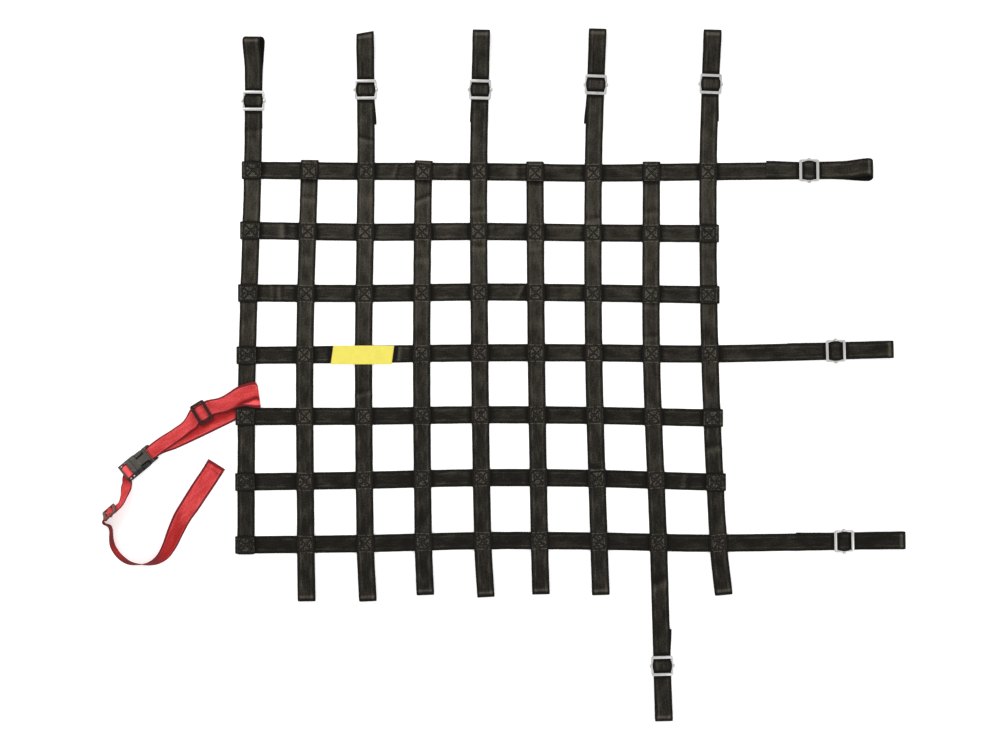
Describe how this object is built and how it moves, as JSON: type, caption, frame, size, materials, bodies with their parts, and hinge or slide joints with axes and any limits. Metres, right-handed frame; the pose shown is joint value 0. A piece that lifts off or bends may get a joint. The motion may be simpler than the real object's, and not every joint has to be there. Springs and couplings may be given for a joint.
{
  "type": "racing window net",
  "caption": "Flat net of crossed and sewn webbing straps with adjustable buckle loops, rod sleeves and a red release strap, laid out.",
  "frame": {"origin": "middle of the net's bounding box in plan, on the surface that it lies on", "axes": "+X to the net's right and +Y up it as pictured from above, +Z off the surface"},
  "size_m": [1.1475, 0.9896, 0.0306],
  "materials": {
    "webbing": "black woven polyester webbing with olive-grey stitching",
    "release_webbing": "red woven webbing",
    "steel": "nickel plated, worn bright on the end bars",
    "plastic": "moulded, fine grain",
    "label": "bare yellow woven label"
  },
  "bodies": {
    "root": {"cross_1": "webbing", "cross_2": "webbing", "cross_3": "webbing", "cross_4": "webbing", "cross_5": "webbing", "cross_6": "webbing", "cross_7": "webbing", "frame_cross_1": "steel", "frame_cross_4": "steel", "frame_cross_7": "steel", "frame_upright_1": "steel", "frame_upright_3": "steel", "frame_upright_5": "steel", "frame_upright_7": "steel", "frame_upright_8": "steel", "frame_upright_9": "steel", "label_patch": "label", "loop_slider": "plastic", "release_loop": "release_webbing", "release_plug": "plastic", "release_socket": "plastic", "release_tail": "release_webbing", "slide_bar_cross_1": "steel", "slide_bar_cross_4": "steel", "slide_bar_cross_7": "steel", "slide_bar_upright_1": "steel", "slide_bar_upright_3": "steel", "slide_bar_upright_5": "steel", "slide_bar_upright_7": "steel", "slide_bar_upright_8": "steel", "slide_bar_upright_9": "steel", "tail_slider": "plastic", "upright_1": "webbing", "upright_2": "webbing", "upright_3": "webbing", "upright_4": "webbing", "upright_5": "webbing", "upright_6": "webbing", "upright_7": "webbing", "upright_8": "webbing", "upright_9": "webbing"}
  },
  "joints": []
}
